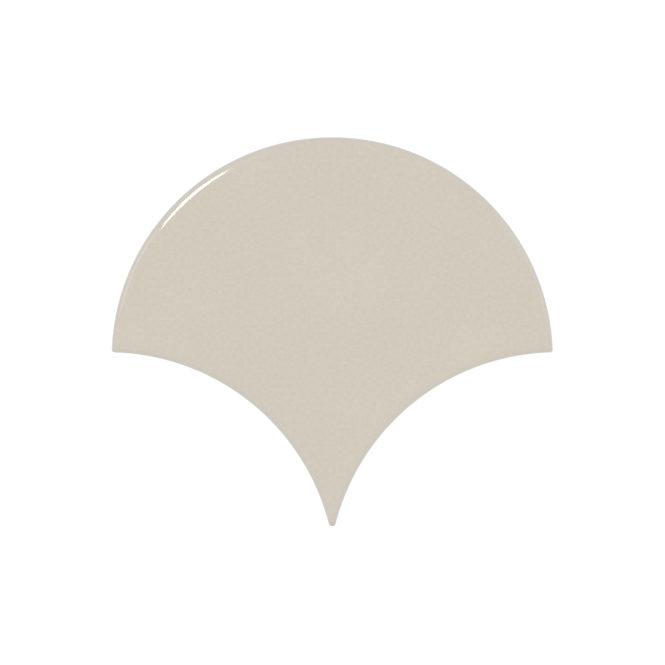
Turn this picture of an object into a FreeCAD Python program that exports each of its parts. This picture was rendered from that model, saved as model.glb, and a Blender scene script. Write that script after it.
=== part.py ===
import FreeCAD, Part

import math
import os

import Sketcher
from FreeCAD import Placement, Rotation, Vector

# A fish scale wall tile: one pressed, fired and glazed piece, lying face up on its back.
# Its outline is made of circles only. The crown is most of a half circle. Each flank is
# the crown of a neighbour in the next row, moved off by the grout joint, so that equal
# tiles nest. Small rounds close the shoulders and the toe, where those circles meet.
# All round, the glazed face falls to the edge by the same curve, so the falls of the
# crown and of the flanks meet in a mitre at each shoulder and in a ridge at the toe.
# The origin is the centre of the crown's circle, on the plane of the back. +Y points from
# the toe to the crown, +X across the tile and +Z out of the glazed face.

SIZES = {
    # the circles of the outline, in mm, as seen from above
    "crown_radius": 60.0,
    "joint_width": 2.0,
    "row_gap": 0.5,
    "shoulder_radius": 0.8,
    "toe_radius": 1.0,
    # the section through the edge
    "tile_thickness": 8.0,
    "rim_width": 2.8,
    "rim_drop": 2.0,
    "side_draft": 0.12,
    "back_chamfer": 0.4,
    # the keys, cells pressed into the back to hold the adhesive, and the ribs between them
    "key_margin": 5.0,
    "key_corner_radius": 1.5,
    "key_depth": 0.8,
    "key_draft": 0.25,
    "rib_pitch": 10.0,
    "rib_width": 2.4,
}
CUTTER_REACH = 6.0  # how far a cutter runs on past the clay that it takes away
CHAMFER_ANGLE = 45.0
FULL_TURN = 360.0
HALF_TURN = FULL_TURN / 2
QUARTER_TURN = FULL_TURN / 4

# the points of an edge in a sketch, and what every sketch starts with
START, END, CENTRE = range(1, 4)
X_AXIS = -1
Y_AXIS = -2
ORIGIN = (X_AXIS, START)

doc = FreeCAD.newDocument("FishScaleTile")
sheet = doc.addObject("Spreadsheet::Sheet", "Sizes")
for row, (alias, value) in enumerate(SIZES.items(), start=1):
    sheet.set(f"A{row}", alias)
    sheet.set(f"B{row}", str(value))
    sheet.setAlias(f"B{row}", alias)
doc.recompute()


def size(alias):
    return float(sheet.get(alias))


crown_radius = size("crown_radius")
thickness = size("tile_thickness")
rim_width = size("rim_width")
rim_drop = size("rim_drop")
side_draft = size("side_draft")
back_chamfer = size("back_chamfer")
key_margin = size("key_margin")
key_corner = size("key_corner_radius")
key_depth = size("key_depth")
key_draft = size("key_draft")
rib_pitch = size("rib_pitch")
rib_width = size("rib_width")

# formulas that more than one feature follows
FLANK_RADIUS = "Sizes.crown_radius + Sizes.joint_width"
FLANK_X = "Sizes.crown_radius + Sizes.joint_width / 2"
FLANK_DROP = "Sizes.crown_radius + Sizes.row_gap"
RIM_RADIUS = "(Sizes.rim_width ^ 2 + Sizes.rim_drop ^ 2) / (2 * Sizes.rim_drop)"


# Drawing and binding

def origin_plane(body, role):
    return next(feature for feature in body.Origin.OriginFeatures if feature.Role == role)


def new_sketch(body, name, role):
    sketch = body.newObject("Sketcher::SketchObject", name)
    sketch.AttachmentSupport = [(origin_plane(body, role), "")]
    sketch.MapMode = "FlatFace"
    return sketch


def circle(centre, radius):
    return Part.Circle(centre, Vector(0, 0, 1), radius)


def line(sketch, start, end):
    return sketch.addGeometry(Part.LineSegment(start, end))


def arc(sketch, centre, radius, start, end):
    """Draws an arc that runs counter-clockwise from start to end."""
    first = math.atan2(start.y - centre.y, start.x - centre.x)
    last = math.atan2(end.y - centre.y, end.x - centre.x)
    return sketch.addGeometry(Part.ArcOfCircle(circle(centre, radius), first, last))


def hold(sketch, kind, *where):
    return sketch.addConstraint(Sketcher.Constraint(kind, *where))


def dimension(sketch, name, formula, kind, *where):
    """Adds a named constraint whose value follows a formula of the sheet's sizes."""
    sketch.renameConstraint(hold(sketch, kind, *where), name)
    sketch.setExpression(f"Constraints.{name}", formula)


def reading(sketch, name, kind, *where):
    """Adds a named constraint that only measures, for other features to follow."""
    index = hold(sketch, kind, *where)
    sketch.renameConstraint(index, name)
    sketch.setDriving(index, False)


def mirror_image(point):
    return Vector(-point.x, point.y, 0)


def rounding_centre(crown_side, flank_side):
    """The upper point at these distances from the centres of the crown and the flank."""
    span = flank_centre.Length
    along = (crown_side ** 2 - flank_side ** 2 + span ** 2) / (2 * span)
    beside = math.sqrt(crown_side ** 2 - along ** 2)
    towards = flank_centre * (1 / span)
    return towards * along + Vector(-towards.y, towards.x, 0) * beside


# Setting out: the circles of the outline

tile = doc.addObject("PartDesign::Body", "Tile")
tile.Label = "fish_scale_tile"
flank_radius = crown_radius + size("joint_width")
flank_centre = Vector(crown_radius + size("joint_width") / 2, -crown_radius - size("row_gap"), 0)


def toe_position(flank_side):
    """The point on the tile's middle line at this distance from the flank's centre."""
    return Vector(0, flank_centre.y + math.sqrt(flank_side ** 2 - flank_centre.x ** 2), 0)


def draw_layout():
    sketch = new_sketch(tile, "Layout", "XY_Plane")
    shoulder_radius = size("shoulder_radius")
    toe_radius = size("toe_radius")
    shoulder_at = rounding_centre(crown_radius - shoulder_radius, flank_radius + shoulder_radius)
    toe_at = toe_position(flank_radius + toe_radius)
    places = [
        (Vector(0, 0, 0), crown_radius),
        (flank_centre, flank_radius),
        (shoulder_at, shoulder_radius),
        (toe_at, toe_radius),
    ]
    crown, flank, shoulder, toe = [sketch.addGeometry(circle(*place), True) for place in places]

    hold(sketch, "Coincident", crown, CENTRE, *ORIGIN)
    dimension(sketch, "crown_radius", "Sizes.crown_radius", "Radius", crown, crown_radius)
    dimension(sketch, "flank_radius", FLANK_RADIUS, "Radius", flank, flank_radius)
    dimension(sketch, "flank_x", FLANK_X, "DistanceX", *ORIGIN, flank, CENTRE, flank_centre.x)
    dimension(sketch, "flank_drop", FLANK_DROP, "DistanceY", flank, CENTRE, *ORIGIN, -flank_centre.y)
    dimension(sketch, "shoulder_radius", "Sizes.shoulder_radius", "Radius", shoulder, shoulder_radius)
    hold(sketch, "Tangent", shoulder, crown)
    hold(sketch, "Tangent", shoulder, flank)
    dimension(sketch, "toe_radius", "Sizes.toe_radius", "Radius", toe, toe_radius)
    hold(sketch, "PointOnObject", toe, CENTRE, Y_AXIS)
    hold(sketch, "Tangent", toe, flank)
    reading(sketch, "shoulder_x", "DistanceX", *ORIGIN, shoulder, CENTRE, shoulder_at.x)
    reading(sketch, "shoulder_y", "DistanceY", *ORIGIN, shoulder, CENTRE, shoulder_at.y)
    reading(sketch, "toe_drop", "DistanceY", toe, CENTRE, *ORIGIN, -toe_at.y)
    doc.recompute()


draw_layout()


# The edge: one section, turned about the centre of each circle of the outline

class EdgeSection:
    """The section of the edge, drawn beside a circle's upright axis. It runs down the fall
    of the face, the drafted side and the chamfer of the back. A hollow circle has its clay
    outside. Where a round is narrower than the fall or the chamfer, they stop at its axis."""

    def __init__(self, name, radius, radius_formula, hollow=False):
        self.sketch = new_sketch(tile, name, "XZ_Plane")
        self.radius = radius
        self.hollow = hollow
        self.inward = 1 if hollow else -1
        self.rim_at_axis = not hollow and radius < rim_width
        self.foot_at_axis = not hollow and radius < side_draft + back_chamfer
        self.draw()
        self.bind(radius_formula)

    def draw(self):
        rim_radius = (rim_width ** 2 + rim_drop ** 2) / (2 * rim_drop)
        rim_at = Vector(self.radius + self.inward * rim_width, thickness - rim_radius, 0)
        if self.rim_at_axis:
            self.rim_top = Vector(0, rim_at.y + math.sqrt(rim_radius ** 2 - rim_at.x ** 2), 0)
        else:
            self.rim_top = Vector(rim_at.x, thickness, 0)
        self.wall_top = Vector(self.radius, thickness - rim_drop, 0)
        self.wall_foot = Vector(self.radius + self.inward * side_draft, back_chamfer, 0)
        run = self.wall_foot.x if self.foot_at_axis else back_chamfer
        self.foot = self.wall_foot + Vector(self.inward * run, -run, 0)
        if self.hollow:
            self.rim = arc(self.sketch, rim_at, rim_radius, self.rim_top, self.wall_top)
            self.rim_ends = (START, END)
        else:
            self.rim = arc(self.sketch, rim_at, rim_radius, self.wall_top, self.rim_top)
            self.rim_ends = (END, START)
        self.wall = line(self.sketch, self.wall_top, self.wall_foot)
        self.chamfer = line(self.sketch, self.wall_foot, self.foot)

    def bind(self, radius_formula):
        sketch, wall, rim = self.sketch, self.wall, self.rim
        rim_radius = sketch.Geometry[rim].Radius
        narrow, wide = (START, END) if self.hollow else (END, START)
        slope = -CHAMFER_ANGLE if self.hollow else CHAMFER_ANGLE - HALF_TURN
        dimension(sketch, "outline", radius_formula, "DistanceX", *ORIGIN, wall, START, self.radius)
        dimension(
            sketch, "wall_top", "Sizes.tile_thickness - Sizes.rim_drop",
            "DistanceY", *ORIGIN, wall, START, self.wall_top.y,
        )
        dimension(
            sketch, "side_draft", "Sizes.side_draft",
            "DistanceX", wall, narrow, wall, wide, side_draft,
        )
        dimension(
            sketch, "back_chamfer", "Sizes.back_chamfer",
            "DistanceY", *ORIGIN, wall, END, back_chamfer,
        )
        hold(sketch, "Angle", self.chamfer, math.radians(slope))
        hold(sketch, "PointOnObject", self.chamfer, END, Y_AXIS if self.foot_at_axis else X_AXIS)
        dimension(sketch, "rim_radius", RIM_RADIUS, "Radius", rim, rim_radius)
        dimension(
            sketch, "rim_centre", f"Sizes.tile_thickness - {RIM_RADIUS}",
            "DistanceY", *ORIGIN, rim, CENTRE, thickness - rim_radius,
        )
        if self.rim_at_axis:
            hold(sketch, "PointOnObject", rim, self.rim_ends[0], Y_AXIS)
        else:
            hold(sketch, "Vertical", rim, self.rim_ends[0], rim, CENTRE)

    def close(self, steps):
        """Closes the section from its foot to its top with straight lines. Each step gives
        the constraint that a line needs, if any, and where the line ends."""
        corners = [self.foot] + [corner for _, corner in steps]
        lines = [line(self.sketch, start, end) for start, end in zip(corners, corners[1:])]
        chain = [(self.rim, *self.rim_ends), (self.wall, START, END), (self.chamfer, START, END)]
        chain += [(index, START, END) for index in lines]
        for (edge, _, last), (following, first, _) in zip(chain, chain[1:] + chain[:1]):
            hold(self.sketch, "Coincident", edge, last, following, first)
        for index, (kind, _) in zip(lines, steps):
            if kind:
                hold(self.sketch, kind, index)
        return lines

    def close_round_clay(self):
        """Closes the section round all the clay inside the circle."""
        _, axis, _ = self.close([
            (None, Vector(0, 0, 0)),
            ("Vertical", Vector(0, thickness, 0)),
            ("Horizontal", self.rim_top),
        ])
        hold(self.sketch, "Coincident", axis, START, *ORIGIN)

    def close_round_waste(self):
        """Closes the section round what a cutter takes away beyond the clay."""
        far = 0 if self.hollow else self.radius + CUTTER_REACH
        top = thickness + CUTTER_REACH
        down, _, up, _, _ = self.close([
            ("Vertical", Vector(self.foot.x, -CUTTER_REACH, 0)),
            ("Horizontal", Vector(far, -CUTTER_REACH, 0)),
            ("Vertical", Vector(far, top, 0)),
            ("Horizontal", Vector(self.rim_top.x, top, 0)),
            ("Vertical", self.rim_top),
        ])
        hold(self.sketch, "DistanceY", down, END, *ORIGIN, CUTTER_REACH)
        hold(self.sketch, "DistanceY", self.wall, START, up, END, rim_drop + CUTTER_REACH)
        if self.hollow:
            hold(self.sketch, "PointOnObject", up, START, Y_AXIS)
        else:
            hold(self.sketch, "DistanceX", self.wall, START, up, START, CUTTER_REACH)

    def stand_at(self, x_formula, drop_formula, turn_formula):
        """Stands the section on its circle's centre, turned about the centre's upright axis."""
        upright = Vector(0, 1, 0)
        self.sketch.AttachmentOffset = Placement(Vector(0, 0, 0), Rotation(upright, QUARTER_TURN))
        self.sketch.setExpression("AttachmentOffset.Base.x", x_formula)
        self.sketch.setExpression("AttachmentOffset.Base.z", drop_formula)
        self.sketch.setExpression("AttachmentOffset.Rotation.Angle", turn_formula)


def turn(kind, name, section, sweep_formula):
    """Turns a section about its axis, half of the sweep to each side of it."""
    feature = tile.newObject(kind, name)
    feature.Profile = section.sketch
    feature.ReferenceAxis = (section.sketch, ["V_Axis"])
    feature.Midplane = True
    feature.setExpression("Angle", sweep_formula)
    doc.recompute()
    return feature


def mirror(feature, name):
    image = tile.newObject("PartDesign::Mirrored", name)
    image.Originals = [feature]
    image.MirrorPlane = (origin_plane(tile, "YZ_Plane"), [""])
    tile.Tip = image
    doc.recompute()


# The crown

crown_section = EdgeSection("CrownSection", crown_radius, "Sizes.crown_radius")
crown_section.close_round_clay()
turn("PartDesign::Revolution", "CrownDisc", crown_section, f"{FULL_TURN} deg")

# The hollow flanks

flank_section = EdgeSection("FlankSection", flank_radius, FLANK_RADIUS, hollow=True)
flank_section.close_round_waste()
flank_section.stand_at("Layout.Constraints.flank_x", "Layout.Constraints.flank_drop", "0 deg")
right_flank = turn("PartDesign::Groove", "RightFlank", flank_section, f"{FULL_TURN} deg")
mirror(right_flank, "LeftFlank")

# The rounds at the toe and the shoulders, each turned from one tangent point to the other

FLANK_BELOW_TOE = (
    "atan((Layout.Constraints.flank_drop - Layout.Constraints.toe_drop)"
    " / Layout.Constraints.flank_x)"
)
FLANK_BELOW_SHOULDER = (
    "atan((Layout.Constraints.flank_drop + Layout.Constraints.shoulder_y)"
    " / (Layout.Constraints.flank_x - Layout.Constraints.shoulder_x))"
)
CROWN_ABOVE_SHOULDER = "atan(Layout.Constraints.shoulder_y / Layout.Constraints.shoulder_x)"

toe_section = EdgeSection("ToeSection", size("toe_radius"), "Sizes.toe_radius")
toe_section.close_round_waste()
toe_section.stand_at("0", "Layout.Constraints.toe_drop", f"-{QUARTER_TURN} deg")
turn("PartDesign::Groove", "Toe", toe_section, f"{HALF_TURN} deg - 2 * {FLANK_BELOW_TOE}")

shoulder_section = EdgeSection("ShoulderSection", size("shoulder_radius"), "Sizes.shoulder_radius")
shoulder_section.close_round_waste()
shoulder_section.stand_at(
    "Layout.Constraints.shoulder_x",
    "-Layout.Constraints.shoulder_y",
    f"({CROWN_ABOVE_SHOULDER} - {FLANK_BELOW_SHOULDER}) / 2",
)
right_shoulder = turn(
    "PartDesign::Groove", "RightShoulder", shoulder_section,
    f"{CROWN_ABOVE_SHOULDER} + {FLANK_BELOW_SHOULDER}",
)
mirror(right_shoulder, "LeftShoulder")


# The keys: cells with ribs between them, pressed into the back inside a flat margin

keys = doc.addObject("PartDesign::Body", "Keys")
KEY_TAPER = "atan(Sizes.key_draft / Sizes.key_depth)"
RIBS_TO_SIDE = "floor((Sizes.crown_radius - Sizes.key_margin) / Sizes.rib_pitch)"
FIELD_BELOW = "(Field.Constraints.toe_drop + Field.Constraints.corner) / 1 mm"
RIBS_TO_TOE = f"floor({FIELD_BELOW} / Sizes.rib_pitch)"


def draw_field():
    """Draws the outline of the keys, which keeps the margin from the tile's all round."""
    sketch = new_sketch(keys, "Field", "XY_Plane")
    crown_field = crown_radius - key_margin
    flank_field = flank_radius + key_margin
    shoulder_at = rounding_centre(crown_field - key_corner, flank_field + key_corner)
    toe_at = toe_position(flank_field + key_corner)
    share = key_corner / (flank_field + key_corner)
    on_crown = shoulder_at * (crown_field / (crown_field - key_corner))
    on_flank = shoulder_at + (flank_centre - shoulder_at) * share
    on_toe = toe_at + (flank_centre - toe_at) * share
    left = mirror_image

    crown = arc(sketch, Vector(0, 0, 0), crown_field, on_crown, left(on_crown))
    left_shoulder = arc(sketch, left(shoulder_at), key_corner, left(on_crown), left(on_flank))
    left_flank = arc(sketch, left(flank_centre), flank_field, left(on_toe), left(on_flank))
    toe = arc(sketch, toe_at, key_corner, left(on_toe), on_toe)
    right_flank = arc(sketch, flank_centre, flank_field, on_flank, on_toe)
    right_shoulder = arc(sketch, shoulder_at, key_corner, on_flank, on_crown)

    # the hollow flanks are drawn against the way round, so their ends swap places
    hold(sketch, "Tangent", crown, END, left_shoulder, START)
    hold(sketch, "Tangent", left_shoulder, END, left_flank, END)
    hold(sketch, "Tangent", left_flank, START, toe, START)
    hold(sketch, "Tangent", toe, END, right_flank, END)
    hold(sketch, "Tangent", right_flank, START, right_shoulder, START)
    hold(sketch, "Tangent", right_shoulder, END, crown, START)
    hold(sketch, "Coincident", crown, CENTRE, *ORIGIN)
    hold(sketch, "Symmetric", left_flank, CENTRE, right_flank, CENTRE, Y_AXIS)
    hold(sketch, "Equal", left_flank, right_flank)
    hold(sketch, "Equal", left_shoulder, right_shoulder)
    hold(sketch, "Equal", toe, right_shoulder)
    dimension(sketch, "crown", "Sizes.crown_radius - Sizes.key_margin", "Radius", crown, crown_field)
    dimension(sketch, "flank", f"{FLANK_RADIUS} + Sizes.key_margin", "Radius", right_flank, flank_field)
    dimension(sketch, "corner", "Sizes.key_corner_radius", "Radius", right_shoulder, key_corner)
    dimension(sketch, "flank_x", FLANK_X, "DistanceX", *ORIGIN, right_flank, CENTRE, flank_centre.x)
    dimension(sketch, "flank_drop", FLANK_DROP, "DistanceY", right_flank, CENTRE, *ORIGIN, -flank_centre.y)
    reading(sketch, "toe_drop", "DistanceY", toe, CENTRE, *ORIGIN, -toe_at.y)
    doc.recompute()
    return sketch


def pad_field(outline):
    pad = keys.newObject("PartDesign::Pad", "FieldDepth")
    pad.Profile = outline
    pad.setExpression("Length", "Sizes.key_depth")
    pad.setExpression("TaperAngle", f"-{KEY_TAPER}")
    doc.recompute()


def leave_ribs(name, plane_role, first_formula, count_formula):
    """Leaves one family of parallel ribs out of the keys: a rib's section, narrower at its
    crest, is cut right across them at the first place and then at each rib pitch."""
    sketch = new_sketch(keys, f"{name}Section", plane_role)
    half_crest = rib_width / 2
    half_root = half_crest + key_draft
    corners = [
        Vector(-half_crest, 0, 0),
        Vector(half_crest, 0, 0),
        Vector(half_root, key_depth, 0),
        Vector(-half_root, key_depth, 0),
    ]
    crest, right, root, left = [line(sketch, *ends) for ends in zip(corners, corners[1:] + corners[:1])]
    for edge, following in ((crest, right), (right, root), (root, left), (left, crest)):
        hold(sketch, "Coincident", edge, END, following, START)
    hold(sketch, "Symmetric", crest, START, crest, END, *ORIGIN)
    hold(sketch, "Symmetric", root, START, root, END, Y_AXIS)
    dimension(sketch, "crest", "Sizes.rib_width", "DistanceX", crest, START, crest, END, rib_width)
    dimension(
        sketch, "root", "Sizes.rib_width + 2 * Sizes.key_draft",
        "DistanceX", root, END, root, START, 2 * half_root,
    )
    dimension(sketch, "depth", "Sizes.key_depth", "DistanceY", crest, END, right, END, key_depth)
    sketch.setExpression("AttachmentOffset.Base.x", first_formula)
    doc.recompute()

    rib = keys.newObject("PartDesign::Pocket", name)
    rib.Profile = sketch
    rib.Type = "ThroughAll"
    rib.Midplane = True
    doc.recompute()
    pattern = keys.newObject("PartDesign::LinearPattern", f"{name}Pattern")
    pattern.Originals = [rib]
    pattern.Direction = (sketch, ["H_Axis"])
    pattern.Mode = "Spacing"
    pattern.setExpression("Offset", "Sizes.rib_pitch")
    pattern.setExpression("Occurrences", count_formula)
    keys.Tip = pattern
    doc.recompute()


pad_field(draw_field())
leave_ribs(
    "RibsUp", "XZ_Plane",
    f"-{RIBS_TO_SIDE} * Sizes.rib_pitch", f"2 * {RIBS_TO_SIDE} + 1",
)
leave_ribs(
    "RibsAcross", "YZ_Plane",
    f"-{RIBS_TO_TOE} * Sizes.rib_pitch", f"{RIBS_TO_TOE} + {RIBS_TO_SIDE} + 1",
)

keyed_back = tile.newObject("PartDesign::Boolean", "KeyedBack")
keyed_back.setObjects([keys])
keyed_back.Type = "Cut"
doc.recompute()


# The finished piece is checked and written

for entry in doc.Objects:
    if "Invalid" in entry.State or "Error" in entry.State:
        raise RuntimeError(f"{entry.Name} failed: {entry.getStatusString()}")
if tile.Shape.isNull() or not tile.Shape.isValid() or len(tile.Shape.Solids) != 1:
    raise RuntimeError(f"{tile.Label} is not one valid solid")

os.makedirs("parts", exist_ok=True)
tile.Shape.exportStep(os.path.join("parts", f"{tile.Label}.step"))
print(f"{tile.Label}: {tile.Shape.Volume:.0f} mm3, {len(tile.Shape.Faces)} faces")
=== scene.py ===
import math

import bpy
import numpy as np
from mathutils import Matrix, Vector, noise
from mathutils.geometry import delaunay_2d_cdt


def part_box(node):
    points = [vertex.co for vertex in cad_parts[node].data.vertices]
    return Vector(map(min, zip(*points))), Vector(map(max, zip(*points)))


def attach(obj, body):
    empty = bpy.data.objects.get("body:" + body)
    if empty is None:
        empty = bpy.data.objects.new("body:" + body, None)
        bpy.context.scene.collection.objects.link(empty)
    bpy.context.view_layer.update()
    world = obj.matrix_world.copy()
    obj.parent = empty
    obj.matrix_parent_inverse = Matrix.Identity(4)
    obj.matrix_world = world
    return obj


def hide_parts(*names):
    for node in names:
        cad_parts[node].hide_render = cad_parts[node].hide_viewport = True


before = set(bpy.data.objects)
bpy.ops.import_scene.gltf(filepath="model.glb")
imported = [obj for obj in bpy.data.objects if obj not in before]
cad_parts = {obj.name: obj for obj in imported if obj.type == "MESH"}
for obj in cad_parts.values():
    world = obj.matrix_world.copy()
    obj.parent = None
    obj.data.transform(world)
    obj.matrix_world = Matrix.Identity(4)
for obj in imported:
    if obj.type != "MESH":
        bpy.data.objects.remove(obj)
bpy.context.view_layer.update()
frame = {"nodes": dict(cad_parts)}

mm = 0.001
print("frame loaded:", ", ".join(frame["nodes"]))


# The tile's outline: three circles, rounded where they meet, and the same ring further in

lowCorner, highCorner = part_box("fish_scale_tile")
plan = {
    "crownRadius": highCorner.y,  # the crown's centre is the frame's origin
    "jointWidth": 2.0 * mm,       # between this tile and its neighbours
    "rowGap": 0.5 * mm,           # how much further apart the rows lie than the crown's radius
    "shoulderRadius": 0.8 * mm,
    "toeRadius": 1.0 * mm,
    "mitreSoftness": 0.3 * mm,    # the glaze rounds the mitres at the shoulders and the toe
    "mitreGrowth": 0.22,          # and rounds them more, the further in from the edge
    "ringPoints": {"crown": 300, "shoulder": 14, "flank": 112, "toe": 16},
}
flankRadius = plan["crownRadius"] + plan["jointWidth"]
flankCentre = Vector((
    plan["crownRadius"] + plan["jointWidth"] / 2,
    -plan["crownRadius"] - plan["rowGap"],
))


def between(ends, share):
    # the value that lies this share of the way from the first end to the second
    return ends[0] + (ends[1] - ends[0]) * share


def circlesMeet(crownReach, flankReach):
    # the upper point at these distances from the centres of the crown and the flank
    span = flankCentre.length
    along = (crownReach ** 2 - flankReach ** 2 + span ** 2) / (2 * span)
    beside = math.sqrt(crownReach ** 2 - along ** 2)
    unit = flankCentre / span
    return unit * along + Vector((-unit.y, unit.x)) * beside


def softened(length):
    return (length + math.sqrt(length ** 2 + 4 * plan["mitreSoftness"] ** 2)) / 2


def cornerRadius(atEdge, inset):
    # true at the edge, and never quite sharp further in
    return atEdge + softened(atEdge - inset) - softened(atEdge) + plan["mitreGrowth"] * max(inset, 0)


def arcPoints(centre, radius, start, end, count):
    angles = np.linspace(start, end, count, endpoint=False)
    return np.column_stack([
        centre[0] + radius * np.cos(angles),
        centre[1] + radius * np.sin(angles),
    ])


def angleOf(vector):
    return math.atan2(vector.y, vector.x)


def outlineRing(inset):
    # runs counter-clockwise from the right shoulder, with as many points at every inset
    crown = plan["crownRadius"] - inset
    flank = flankRadius + inset
    shoulder = cornerRadius(plan["shoulderRadius"], inset)
    toe = cornerRadius(plan["toeRadius"], inset)
    shoulderAt = circlesMeet(crown - shoulder, flank + shoulder)
    toeAt = Vector((0, flankCentre.y + math.sqrt((flank + toe) ** 2 - flankCentre.x ** 2)))
    crownStart = angleOf(shoulderAt)
    toShoulder = angleOf(shoulderAt - flankCentre)
    toToe = angleOf(toeAt - flankCentre)
    leftShoulder = (-shoulderAt.x, shoulderAt.y)
    leftFlank = (-flankCentre.x, flankCentre.y)
    half, whole = math.pi, 2 * math.pi
    counts = plan["ringPoints"]
    return np.vstack([
        arcPoints((0, 0), crown, crownStart, half - crownStart, counts["crown"]),
        arcPoints(leftShoulder, shoulder, half - crownStart, whole - toShoulder, counts["shoulder"]),
        arcPoints(leftFlank, flank, half - toShoulder, half - toToe, counts["flank"]),
        arcPoints(toeAt, toe, whole - toToe, half + toToe, counts["toe"]),
        arcPoints(flankCentre, flank, toToe, toShoulder, counts["flank"]),
        arcPoints(shoulderAt, shoulder, toShoulder - half, crownStart, counts["shoulder"]),
    ])


# The tile's mesh is gathered here, ring by ring

points, faces, faceFinish = [], [], []
marks = {"arrisMark": [], "thinGlaze": [], "crestWash": [], "keyShade": []}   # for the finishes; the arris and cell marks carry painted shade
glaze, biscuit = 0, 1             # their places in the tile's list of materials


def wave(spots, size, seed):
    # smooth seeded unevenness, from 0 to 1, at points of the plan
    return np.array([(noise.noise(Vector((x / size, y / size, seed))) + 1) / 2 for x, y in spots])


def swing(spots, size, seed):
    # the same, from half down to half up
    return wave(spots, size, seed) - 0.5


def addPoints(spots, heights, **marked):
    first = len(points)
    heights = np.broadcast_to(heights, len(spots))
    points.extend((x, y, z) for (x, y), z in zip(spots, heights))
    for name, values in marks.items():
        values.extend(np.broadcast_to(marked.get(name, 0.0), len(spots)))
    return list(range(first, first + len(spots)))


def bridge(upper, lower, finish):
    # joins two rings; the first is the one nearer to the middle of the face
    for i in range(len(upper)):
        j = (i + 1) % len(upper)
        faces.append((upper[i], lower[i], lower[j], upper[j]))
        faceFinish.append(finish)


def fillBetween(outer, holes, inside, height, finish, faceUp):
    # fills a flat region up to its outer ring and round its holes; inside are free points
    loops = [outer] + holes
    allIds = [index for loop in loops for index in loop] + addPoints(inside, height)
    spots = [Vector(points[index][:2]) for index in allIds]
    runs, start = [], 0
    for loop in loops:
        runs.append(list(range(start, start + len(loop))))
        start += len(loop)
    insideLoops = 1                   # the kind of result: triangles inside the loops only
    sameSpot = 1e-9                   # points closer than this are one
    outerOnly = {0}                   # in the outer ring, and so in none of the holes
    made = delaunay_2d_cdt(spots, [], runs, insideLoops, sameSpot, True)
    _, _, triangles, oldSpots, _, loopsRound = made
    for triangle, inLoops in zip(triangles, loopsRound):
        if set(inLoops) == outerOnly:
            corners = [allIds[oldSpots[index][0]] for index in triangle]
            faces.append(tuple(corners if faceUp else reversed(corners)))
            faceFinish.append(finish)


# The glazed face and its rounded rim

face = {
    "thickness": highCorner.z,
    "rimWidth": 2.8 * mm,
    "rimDrop": 2.0 * mm,
    "rimRings": 20,
    "flatRing": 0.35 * mm,        # from the rim to the first ring of the flat
    "arrisShadeReach": 1.4 * mm,        # how far in from the edge the glaze is a little greyer: painted shade, partly its thinning there
    "arrisFade": 1.5,             # how fast that painted grey fades on its way in
    "unevenness": 0.025 * mm,     # how far the pressed face dips under a true plane
    "unevenRamp": 11.2 * mm,      # how far in from the rim it dips in full
    "unevenSize": 27.0 * mm,
    "unevenSeed": 3.0,
    "gridStep": 2.6 * mm,
    "gridClear": 1.6 * mm,        # between the first free point and the ring round it
}
rimRadius = (face["rimWidth"] ** 2 + face["rimDrop"] ** 2) / (2 * face["rimDrop"])
rimTurn = math.asin(face["rimWidth"] / rimRadius)


def faceHeight(spots, inset):
    # the face is true at the rim and dips a little further in
    ease = np.clip((inset - face["rimWidth"]) / face["unevenRamp"], 0, 1)
    dip = face["unevenness"] * ease * wave(spots, face["unevenSize"], face["unevenSeed"])
    return face["thickness"] - dip


def insetOf(spots):
    # how far points of the plan lie in from the outline
    x, y = np.abs(spots[:, 0]), spots[:, 1]
    fromCrown = plan["crownRadius"] - np.hypot(x, y)
    fromFlank = np.hypot(x - flankCentre.x, y - flankCentre.y) - flankRadius
    return np.minimum(fromCrown, fromFlank)


def faceGrid(step, clear):
    # points in even triangles: each second row stands half a step over
    across = np.arange(-highCorner.x, highCorner.x, step)
    up = np.arange(lowCorner.y, highCorner.y, step * math.sqrt(3) / 2)
    rows = []
    for i, y in enumerate(up):
        shifted = across + step / 2 * (i % 2)
        rows.append(np.column_stack([shifted, np.full(len(across), y)]))
    spots = np.vstack(rows)
    return spots[(insetOf(spots) > clear) & (spots[:, 1] > lowCorner.y + clear)]


def makeFace():
    innerInset = face["rimWidth"] + face["flatRing"]
    last = addPoints(outlineRing(innerInset), face["thickness"])
    grid = faceGrid(face["gridStep"], innerInset + face["gridClear"])
    fillBetween(last, [], grid, faceHeight(grid, insetOf(grid)), glaze, True)
    for step in range(face["rimRings"] + 1):
        tilt = rimTurn * step / face["rimRings"]
        inset = face["rimWidth"] - rimRadius * math.sin(tilt)
        height = face["thickness"] - rimRadius * (1 - math.cos(tilt))
        # greyer towards the edge: painted shade, partly the glaze thinning there
        grey = max(1 - inset / face["arrisShadeReach"], 0) ** face["arrisFade"]
        ring = addPoints(outlineRing(inset), height, arrisMark=grey)
        bridge(last, ring, glaze)
        last = ring
    return last


arris = makeFace()
print("face and rim:", len(points), "points")


# The side: glaze runs some way down it and stops in a wandering line over bare biscuit

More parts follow.
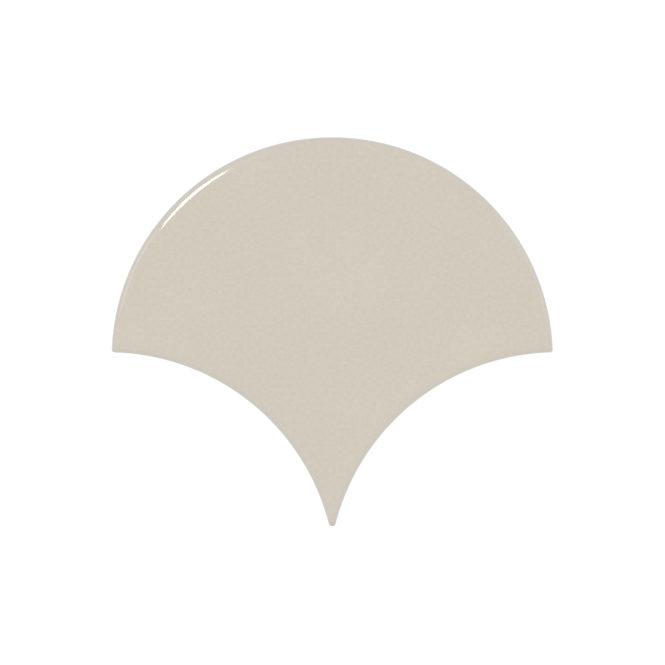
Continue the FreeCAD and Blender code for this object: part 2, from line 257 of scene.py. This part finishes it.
side = {
    "draft": 0.12 * mm,
    "chamfer": 0.4 * mm,
    "evenInset": 1.2 * mm,        # uneven rings are blended from the outline and a ring this far in
    "glazeLine": 2.3 * mm,        # height over the back where the glaze stops
    "glazeLimits": (0.9 * mm, 3.6 * mm),
    "glazeWander": 1.5 * mm,
    "wanderSize": 13.0 * mm,
    "wanderSeed": 8.0,
    "fineWander": 0.25,           # share of the wander and its size that a finer one has
    "fineSeed": 9.0,
    "dripSeed": 11,
    "dripCount": 17,
    "dripReach": (0.385 * mm, 1.1 * mm),
    "dripWidth": (1.02 * mm, 2.72 * mm),
    "glazeRings": (0.04, 0.12, 0.3, 0.5, 0.7, 0.85, 0.95),   # shares of the way to the line
    "glazeThickness": 0.1 * mm,
    "glazeLip": ((0.02 * mm, 0.05), (0.06 * mm, 0.35), (0.07 * mm, 1.0)),   # down, and share in
    "thinHeight": 0.9 * mm,       # over this height the glaze thins towards its line
    "arrisFade": 2.4,             # how fast the painted grey of the arris fades on its way down
    "ripple": 0.05 * mm,
    "rippleGrowth": 4,            # how fast the ripple grows from nothing at the arris
    "rippleSize": 5.0 * mm,
    "rippleSeed": 21.0,
    "bareRings": (0.0, 0.25, 0.5, 0.75, 1.0),   # shares of the way to the foot
    "bareTop": 0.08 * mm,         # how far under the glaze's line the bare wall starts
    "bareFoot": 0.15 * mm,        # and how far over the chamfer it ends
    "chipDepth": 0.4 * mm,
    "chipSize": 1.9 * mm,
    "chipSeed": 31.0,
    "chipRarity": 0.7,
    "chamferRings": (             # height, and how far in
        (0.36 * mm, 0.06 * mm), (0.2 * mm, 0.16 * mm), (0.06 * mm, 0.31 * mm),
        (0.0, 0.42 * mm), (0.0, 0.62 * mm),
    ),
}
randomGlaze = np.random.default_rng(side["dripSeed"])


def alongOutline(spots):
    steps = np.hypot(*(np.roll(spots, -1, axis=0) - spots).T)
    return np.concatenate([[0], np.cumsum(steps)[:-1]]), steps.sum()


def glazeLine(spots):
    run, total = alongOutline(spots)
    wander, size, fine = side["glazeWander"], side["wanderSize"], side["fineWander"]
    height = side["glazeLine"] + wander * swing(spots, size, side["wanderSeed"])
    height += fine * wander * swing(spots, fine * size, side["fineSeed"])
    for _ in range(side["dripCount"]):
        at, reach, width = randomGlaze.random(3)
        gap = np.abs(run - at * total)
        gap = np.minimum(gap, total - gap)
        width = between(side["dripWidth"], width)
        height -= between(side["dripReach"], reach) * np.exp(-(gap / width) ** 2)
    return np.clip(height, *side["glazeLimits"])


def movedIn(inset):
    # the outline moved in by an uneven inset, blended between two even rings
    share = (inset / side["evenInset"])[:, None]
    return outlineRing(0) * (1 - share) + outlineRing(side["evenInset"]) * share


def makeSide(top):
    outline = outlineRing(0)
    wallTop = face["thickness"] - face["rimDrop"]
    slope = side["draft"] / (wallTop - side["chamfer"])
    line = glazeLine(outline)
    ripple = side["ripple"] * wave(outline, side["rippleSize"], side["rippleSeed"])
    bare = side["glazeThickness"]     # how far behind the glaze the biscuit lies
    last = top

    def ring(height, sunk, finish, **marked):
        made = addPoints(movedIn(slope * (wallTop - height) + sunk), height, **marked)
        bridge(last, made, finish)
        return made

    for share in side["glazeRings"]:
        height = between((wallTop, line), share)
        grown = ripple * min(1, side["rippleGrowth"] * share)
        # the painted shade of the arris fades down the side
        grey = max(1 - math.sqrt(side["arrisFade"] * share), 0)
        thin = np.clip(1 - (height - line) / side["thinHeight"], 0, 1)
        last = ring(height, grown, glaze, arrisMark=grey, thinGlaze=thin)
    for dropped, share in side["glazeLip"]:
        last = ring(line - dropped, ripple + bare * share, glaze, thinGlaze=1.0)
    bareEnds = (line - side["bareTop"], side["chamfer"] + side["bareFoot"])
    for share in side["bareRings"]:
        last = ring(between(bareEnds, share), bare + ripple * (1 - share), biscuit)
    chip = np.clip(wave(outline, side["chipSize"], side["chipSeed"]) - side["chipRarity"], 0, 1)
    chip *= side["chipDepth"] / (1 - side["chipRarity"])
    for height, sunk in side["chamferRings"]:
        wash = max(1 - height / side["chamfer"], 0)
        last = ring(height, bare + sunk + chip, biscuit, crestWash=wash)
    return last


footRing = makeSide(arris)
print("side:", len(points), "points")


# The back: square cells with ribs between them, pressed in to hold the adhesive

back = {
    "margin": 5.0 * mm,
    "pitch": 10.0 * mm,
    "ribWidth": 2.4 * mm,
    "cornerSoftness": 0.32 * mm,
    "tightSoftness": 0.14,        # of the room in the smallest cells
    "wallRoom": 0.5,              # how much of a small cell its walls may take
    "leastRoom": 0.8 * mm,
    "wobble": 0.09 * mm,
    "mouthWobble": 0.4,           # share of the wobble that the mouths of the cells have
    "wobbleSize": 2.3 * mm,
    "wobbleSeed": 41.0,
    "rays": 64,                   # points round each cell
    "turnWeight": 1.3 * mm,       # how strongly a turn of the outline draws them
    "floorRings": (0.7, 0.3),     # shares of the way from the middle to the floor's edge
    # painted shade on the cells' floors, strongest at the walls' feet and fading to the middle
    "floorShade": 0.45,
    "floorUnevenness": 0.05 * mm,
    "floorRise": 0.7,             # share of it that stands up from the floor
    "floorUnevenSize": 3.0 * mm,
    "floorSeed": 51.0,
    # how far in from a cell's mouth, and how deep, its rounded lip, its wall and its floor run
    "profile": [(inset * mm, depth * mm) for inset, depth in (
        (-0.34, 0.0), (-0.16, 0.0), (-0.05, 0.03), (0.02, 0.1), (0.08, 0.25),
        (0.16, 0.5), (0.23, 0.66), (0.34, 0.76), (0.55, 0.8),
    )],
}
cellSearch = {
    "spotsAcross": 39,            # tried for the middle of a cell
    "evenRays": 361,              # tried for the turns of its outline
    "halvings": 34,
    "steepest": 60,               # keeps the powers of e in hand
}
halfCell = (back["pitch"] - back["ribWidth"]) / 2


def cellWalls(spots, middle):
    # how far spots lie outside each wall of a cell, and outside the field's edge
    x, y = spots[..., 0], spots[..., 1]
    fieldCrown = np.hypot(x, y) - (plan["crownRadius"] - back["margin"])
    fieldFlank = flankRadius + back["margin"] - np.hypot(np.abs(x) - flankCentre.x, y - flankCentre.y)
    belowToe = flankCentre.y - y
    return np.array([
        x - middle[0] - halfCell, middle[0] - halfCell - x,
        y - middle[1] - halfCell, middle[1] - halfCell - y,
        fieldCrown, fieldFlank, belowToe,
    ])


def findCell(middle):
    # the spot furthest from the walls, and how round the corners of this cell are
    steps = np.linspace(-halfCell, halfCell, cellSearch["spotsAcross"])
    spots = np.stack(np.meshgrid(middle[0] + steps, middle[1] + steps), axis=-1).reshape(-1, 2)
    away = cellWalls(spots, middle).max(axis=0)
    best = int(np.argmin(away))
    room = -away[best]
    soft = min(back["cornerSoftness"], back["tightSoftness"] * room)
    return {"middle": middle, "centre": spots[best], "room": room, "soft": soft}


def outsideCell(spots, cell):
    # under 0 inside the cell, whose walls meet in soft corners
    walls = cellWalls(spots, cell["middle"]) / cell["soft"]
    walls = np.clip(walls, -cellSearch["steepest"], cellSearch["steepest"])
    return cell["soft"] * np.log(np.exp(walls).sum(axis=0))


def raysAt(angles):
    return np.column_stack([np.cos(angles), np.sin(angles)])


def cellRing(cell, angles, inset):
    # along each ray from the cell's centre, halves the way to where the wall stands
    rays = raysAt(angles)
    near, far = np.zeros(len(angles)), np.full(len(angles), back["pitch"])
    for _ in range(cellSearch["halvings"]):
        half = (near + far) / 2
        inside = outsideCell(cell["centre"] + rays * half[:, None], cell) < -inset
        near, far = np.where(inside, half, near), np.where(inside, far, half)
    return cell["centre"] + rays * near[:, None]


def rayAngles(cell):
    # more rays go where the cell's outline turns
    whole = 2 * math.pi
    even = np.linspace(0, whole, cellSearch["evenRays"])
    steps = np.diff(cellRing(cell, even, 0), axis=0)
    heading = np.unwrap(np.arctan2(steps[:, 1], steps[:, 0]))
    turning = np.abs(np.diff(heading, append=heading[0] + whole))
    weight = np.hypot(*steps.T) + back["turnWeight"] * turning
    total = np.concatenate([[0], np.cumsum(weight)])
    wanted = np.linspace(0, total[-1], back["rays"], endpoint=False)
    return np.interp(wanted, total, even)


def makeCell(cell):
    angles = rayAngles(cell)
    mouth = cellRing(cell, angles, 0)
    wobble = back["wobble"] * swing(mouth, back["wobbleSize"], back["wobbleSeed"])
    floorDepth = back["profile"][-1][1]
    rings = []
    for inset, depth in back["profile"]:
        inset = min(inset, back["wallRoom"] * cell["room"])
        pushed = wobble * (1 if depth else back["mouthWobble"])
        spots = cellRing(cell, angles, inset) + raysAt(angles) * pushed[:, None]
        sunk = depth / floorDepth
        # painted shade: the deeper in a cell, the darker
        rings.append(addPoints(spots, depth, crestWash=1 - sunk, keyShade=sunk))
    floorEdge = spots
    for share in back["floorRings"]:
        spots = between((cell["centre"], floorEdge), share)
        rise = wave(spots, back["floorUnevenSize"], back["floorSeed"]) - back["floorRise"]
        depth = floorDepth + back["floorUnevenness"] * rise
        rings.append(addPoints(spots, depth, keyShade=back["floorShade"] * share))
    for upper, lower in zip(rings, rings[1:]):
        bridge(upper, lower, biscuit)
    middlePoint = addPoints([cell["centre"]], floorDepth)[0]
    last = rings[-1]
    for i, index in enumerate(last):
        faces.append((index, middlePoint, last[(i + 1) % len(last)]))
        faceFinish.append(biscuit)
    return rings[0]


def makeBack(outer):
    count = int((plan["crownRadius"] - back["margin"]) // back["pitch"]) + 1
    offsets = (np.arange(-count, count) + 0.5) * back["pitch"]
    cells = [findCell((x, y)) for y in offsets for x in offsets]
    mouths = [makeCell(cell) for cell in cells if cell["room"] > back["leastRoom"]]
    noSpots = np.zeros((0, 2))
    fillBetween(outer, mouths, noSpots, 0.0, biscuit, False)
    return len(mouths)


cellCount = makeBack(footRing)
print("back:", cellCount, "cells,", len(points), "points")


# The mesh itself

tileMesh = bpy.data.meshes.new("tileBody")
tileMesh.from_pydata(points, [], faces)
tileMesh.validate()
tileMesh.polygons.foreach_set("material_index", faceFinish)
tileMesh.polygons.foreach_set("use_smooth", [True] * len(faces))
for name, values in marks.items():
    attribute = tileMesh.attributes.new(name, "FLOAT", "POINT")
    attribute.data.foreach_set("value", np.array(values, np.float32))
tileMesh.update()
tileBody = bpy.data.objects.new("tileBody", tileMesh)
bpy.context.scene.collection.objects.link(tileBody)
print("tileBody:", len(tileMesh.polygons), "faces")


# Finishes; the scale of a texture counts its waves, or its specks, along a metre

glazeFinish = {
    "colour": (0.667, 0.601, 0.505, 1),
    "darker": (0.601, 0.542, 0.456, 1),
    "mottle": {"Scale": 1000, "Detail": 3, "Roughness": 0.55},
    "cloud": {"Scale": 45, "Detail": 2},
    "cloudShare": 0.3,
    "spread": (0.385, 0.915),           # of mottle and cloud together
    "thin": (0.64, 0.57, 0.46, 1),      # where it thins over the cream body
    "thinStrength": 0.7,
    # greyer glaze at the arris: partly its thinning there, partly painted shade
    "arrisThinGlazeAndShade": (0.52, 0.494, 0.452, 1),
    "peel": {"Scale": 260, "Detail": 1},
    "peelHeight": 0.0015 * mm,
    "gloss": {"Roughness": 0.08, "IOR": 1.55},
    "clearCoat": {"Coat Weight": 1.0, "Coat Roughness": 0.08, "Coat IOR": 1.5},   # over the colour
}
biscuitFinish = {
    "colour": (0.71, 0.635, 0.525, 1),
    "shade": (0.62, 0.54, 0.43, 1),
    "cloud": {"Scale": 120, "Detail": 5},
    "cellPaintedShade": (0.55, 0.47, 0.37, 1),    # painted shade down in the cells, darker with depth
    "cellShadeStrength": 0.4,
    "wash": (0.82, 0.79, 0.74, 1),      # white kiln wash left on the crests of the ribs
    "smear": {"Scale": 210, "Detail": 4, "Roughness": 0.6},
    "washSpread": (0.47, 0.66),
    "washStrength": 0.75,
    "speck": (0.36, 0.27, 0.19, 1),
    "specks": {"Scale": 330},
    "speckSize": (0.05, 0.085),
    "speckRarity": (0.83, 0.95),
    "speckStrength": 0.8,
    "grain": {"Scale": 2400, "Detail": 4, "Roughness": 0.7},
    "grainHeight": 0.035 * mm,
    "gloss": {"Roughness": 0.9},
}
nodeSpacing = (220, 260)


def newMaterial(name):
    material = bpy.data.materials.new(name)
    material.use_nodes = True
    material.node_tree.nodes.clear()
    return material, material.node_tree


def addNode(tree, kind, inputs=None, **settings):
    # each input is a number or a colour, or the output of another node
    node = tree.nodes.new(kind)
    for key, value in settings.items():
        setattr(node, key, value)
    for key, value in (inputs or {}).items():
        if isinstance(value, bpy.types.NodeSocket):
            tree.links.new(value, node.inputs[key])
        else:
            node.inputs[key].default_value = value
    return node


def arrangeNodes(tree):
    # in columns from right to left, by the longest way from each node to the output
    columns = dict.fromkeys(tree.nodes.keys(), 0)
    for _ in columns:
        for link in tree.links:
            source, target = link.from_node.name, link.to_node.name
            columns[source] = max(columns[source], columns[target] + 1)
    filled = dict.fromkeys(columns.values(), 0)
    for node in tree.nodes:
        column = columns[node.name]
        node.location = (-column * nodeSpacing[0], -filled[column] * nodeSpacing[1])
        filled[column] += 1


def multiplied(tree, first, second):
    return addNode(tree, "ShaderNodeMath", {0: first, 1: second}, operation="MULTIPLY").outputs[0]


def mixColour(tree, factor, first, second, strength=None):
    # first and second are colours, or the sockets of nodes that make them
    if strength is not None:
        factor = multiplied(tree, factor, strength)
    mix = addNode(tree, "ShaderNodeMix", {"Factor": factor, "A": first, "B": second}, data_type="RGBA")
    return mix.outputs["Result"]


def mapped(tree, value, fromEnds, toEnds=(0.0, 1.0)):
    node = addNode(tree, "ShaderNodeMapRange", {
        "Value": value,
        "From Min": fromEnds[0], "From Max": fromEnds[1],
        "To Min": toEnds[0], "To Max": toEnds[1],
    })
    return node.outputs["Result"]


def markOf(tree, name):
    return addNode(tree, "ShaderNodeAttribute", attribute_name=name).outputs["Fac"]


def noiseOf(tree, place, texture):
    return addNode(tree, "ShaderNodeTexNoise", {"Vector": place, **texture}).outputs["Fac"]


def finishShader(tree, colour, height, distance, gloss):
    bump = addNode(tree, "ShaderNodeBump", {"Height": height, "Distance": distance})
    shader = addNode(tree, "ShaderNodeBsdfPrincipled", {
        "Base Color": colour, "Normal": bump.outputs["Normal"], **gloss,
    })
    addNode(tree, "ShaderNodeOutputMaterial", {"Surface": shader.outputs["BSDF"]})
    arrangeNodes(tree)


def makeGlaze():
    finish = glazeFinish
    material, tree = newMaterial("greigeGlaze")
    place = addNode(tree, "ShaderNodeTexCoord").outputs["Object"]
    mottle = noiseOf(tree, place, finish["mottle"])
    cloud = noiseOf(tree, place, finish["cloud"])
    both = addNode(tree, "ShaderNodeMath", {
        0: cloud, 1: finish["cloudShare"], 2: mottle,
    }, operation="MULTIPLY_ADD")
    tone = mapped(tree, both.outputs[0], finish["spread"])
    colour = mixColour(tree, tone, finish["darker"], finish["colour"])
    thin = markOf(tree, "thinGlaze")
    colour = mixColour(tree, thin, colour, finish["thin"], finish["thinStrength"])
    # greys the glaze towards the arris: painted shade, partly its thinning there
    colour = mixColour(tree, markOf(tree, "arrisMark"), colour, finish["arrisThinGlazeAndShade"])
    peel = noiseOf(tree, place, finish["peel"])
    finishShader(tree, colour, peel, finish["peelHeight"], finish["gloss"] | finish["clearCoat"])
    return material


def makeBiscuit():
    finish = biscuitFinish
    material, tree = newMaterial("creamBiscuit")
    place = addNode(tree, "ShaderNodeTexCoord").outputs["Object"]
    cloud = noiseOf(tree, place, finish["cloud"])
    colour = mixColour(tree, cloud, finish["shade"], finish["colour"])
    # painted shade in the hollows of the cells
    cellPaintedShade = markOf(tree, "keyShade")
    colour = mixColour(tree, cellPaintedShade, colour, finish["cellPaintedShade"], finish["cellShadeStrength"])
    smear = mapped(tree, noiseOf(tree, place, finish["smear"]), finish["washSpread"])
    onCrest = multiplied(tree, smear, markOf(tree, "crestWash"))
    colour = mixColour(tree, onCrest, colour, finish["wash"], finish["washStrength"])
    specks = addNode(tree, "ShaderNodeTexVoronoi", {"Vector": place, **finish["specks"]})
    near = mapped(tree, specks.outputs["Distance"], finish["speckSize"], (1.0, 0.0))
    tint = addNode(tree, "ShaderNodeSeparateColor", {"Color": specks.outputs["Color"]})
    rare = mapped(tree, tint.outputs["Red"], finish["speckRarity"])
    spotted = multiplied(tree, near, rare)
    colour = mixColour(tree, spotted, colour, finish["speck"], finish["speckStrength"])
    grain = noiseOf(tree, place, finish["grain"])
    finishShader(tree, colour, grain, finish["grainHeight"], finish["gloss"])
    return material


tileMesh.materials.append(makeGlaze())
tileMesh.materials.append(makeBiscuit())
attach(tileBody, "root")
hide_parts("fish_scale_tile")
print("finishes: glaze and biscuit")


# Floor, light and camera

studio = {
    "floorSize": 4.0,
    "floorBelow": 0.05 * mm,
    "floorGlow": 0.9,             # the share of its white that a shadow leaves alone
    "floorShade": 0.14,
    "skySeen": 1.0,               # the white that the camera and the gloss see
    "skyForTile": 0.96,           # what lights the tile from above and from below
    "groundForTile": 0.85,
    "horizonBlend": 0.15,
}
# where each panel stands, seen from the tile: degrees from straight up and from +X
panels = {
    "highlightPanel": {
        "aim": (-40.5 * mm, 44.2 * mm, 7.5 * mm), "tilt": 40.1, "turn": 131.5, "distance": 1.307,
        "size": (0.388, 1.08), "radiance": 6.0, "upright": True, "seenByMatt": False,
    },
    "leftPanel": {
        "aim": (0, 0, 0), "tilt": 73, "turn": 157, "distance": 1.2,
        "size": (0.52, 0.62), "radiance": 0.6,
    },
    "rightPanel": {
        "aim": (0, 0, 0), "tilt": 82, "turn": 24, "distance": 1.2,
        "size": (0.75, 0.5), "radiance": 0.42,
    },
    "backPanel": {
        "aim": (0, 0, 0), "tilt": 148, "turn": 125, "distance": 0.6,
        "size": (0.2, 0.2), "radiance": 7.5, "seenInGloss": False,
    },
}


def greyTone(level):
    return (level, level, level, 1)


def makeFloor():
    size = studio["floorSize"] / 2
    corners = [(-size, -size, 0), (size, -size, 0), (size, size, 0), (-size, size, 0)]
    floorMesh = bpy.data.meshes.new("floor")
    floorMesh.from_pydata(corners, [], [(0, 1, 2, 3)])
    floor = bpy.data.objects.new("floor", floorMesh)
    floor.location.z = -studio["floorBelow"]
    bpy.context.scene.collection.objects.link(floor)
    material, tree = newMaterial("paleFloor")
    matt = addNode(tree, "ShaderNodeBsdfDiffuse", {"Color": greyTone(studio["floorShade"])})
    glow = addNode(tree, "ShaderNodeEmission", {"Color": greyTone(1), "Strength": studio["floorGlow"]})
    both = addNode(tree, "ShaderNodeAddShader", {0: matt.outputs["BSDF"], 1: glow.outputs["Emission"]})
    clear = addNode(tree, "ShaderNodeBsdfTransparent")
    under = addNode(tree, "ShaderNodeNewGeometry").outputs["Backfacing"]
    pick = addNode(tree, "ShaderNodeMixShader", {
        "Fac": under, 1: both.outputs["Shader"], 2: clear.outputs["BSDF"],
    })
    addNode(tree, "ShaderNodeOutputMaterial", {"Surface": pick.outputs["Shader"]})
    arrangeNodes(tree)
    floorMesh.materials.append(material)
    floor.visible_diffuse = False
    floor.visible_shadow = False


def makeWorld():
    # white where it is seen or reflected, and a little dimmer as a light on the tile
    world = bpy.data.worlds.new("studio")
    bpy.context.scene.world = world
    world.use_nodes = True
    world.cycles.sampling_method = "NONE"
    tree = world.node_tree
    tree.nodes.clear()
    path = addNode(tree, "ShaderNodeLightPath")
    seen = path.outputs["Is Camera Ray"]
    for name in ("Is Glossy Ray", "Is Transmission Ray"):
        either = addNode(tree, "ShaderNodeMath", {0: seen, 1: path.outputs[name]}, operation="MAXIMUM")
        seen = either.outputs[0]
    place = addNode(tree, "ShaderNodeTexCoord").outputs["Generated"]
    split = addNode(tree, "ShaderNodeSeparateXYZ", {"Vector": place})
    horizon = (-studio["horizonBlend"], studio["horizonBlend"])
    levels = (studio["groundForTile"], studio["skyForTile"])
    lit = mapped(tree, split.outputs["Z"], horizon, levels)
    strength = addNode(tree, "ShaderNodeMix", {
        "Factor": seen, "A": lit, "B": studio["skySeen"],
    }, data_type="FLOAT")
    sky = addNode(tree, "ShaderNodeBackground", {
        "Color": greyTone(1), "Strength": strength.outputs["Result"],
    })
    addNode(tree, "ShaderNodeOutputWorld", {"Surface": sky.outputs["Background"]})
    arrangeNodes(tree)


def towards(tilt, turn):
    tilt, turn = math.radians(tilt), math.radians(turn)
    return Vector((math.sin(tilt) * math.cos(turn), math.sin(tilt) * math.sin(turn), math.cos(tilt)))


def makePanel(
    name, aim, tilt, turn, distance, size, radiance,
    upright=False, seenByMatt=True, seenInGloss=True,
):
    # a soft oval panel that faces the aim, or stands upright on its way there
    light = bpy.data.lights.new(name, "AREA")
    light.shape = "ELLIPSE"
    light.size, light.size_y = size
    area = size[0] * size[1] * math.pi / 4
    light.energy = radiance * math.pi * area
    panel = bpy.data.objects.new(name, light)
    direction = towards(tilt, turn)
    panel.location = Vector(aim) + direction * distance
    panel.rotation_mode = "QUATERNION"
    facing = Vector((direction.x, direction.y, 0)) if upright else direction
    panel.rotation_quaternion = facing.to_track_quat("Z", "Y")
    panel.visible_diffuse = seenByMatt
    panel.visible_glossy = seenInGloss
    bpy.context.scene.collection.objects.link(panel)


makeFloor()
makeWorld()
for name, panel in panels.items():
    makePanel(name, **panel)

view = {
    "imageSize": 665,
    "crownAt": (332.24, 357.95),  # the crown's centre, in pixels of the image
    "pixelSize": 0.27175 * mm,    # at the height of the arris
    "arrisHeight": 6.0 * mm,
    "lens": 100,
    "sensor": 36,
}


def makeCamera():
    camera = bpy.data.cameras.new("camera")
    camera.lens, camera.sensor_width = view["lens"], view["sensor"]
    cameraObject = bpy.data.objects.new("camera", camera)
    across = view["imageSize"] * view["pixelSize"]
    distance = across * view["lens"] / view["sensor"]
    middle = view["imageSize"] / 2
    cameraObject.location = (
        (middle - view["crownAt"][0]) * view["pixelSize"],
        (view["crownAt"][1] - middle) * view["pixelSize"],
        view["arrisHeight"] + distance,
    )
    bpy.context.scene.collection.objects.link(cameraObject)
    bpy.context.scene.camera = cameraObject


makeCamera()
bpy.context.scene.view_settings.view_transform = "Standard"
print("studio ready")
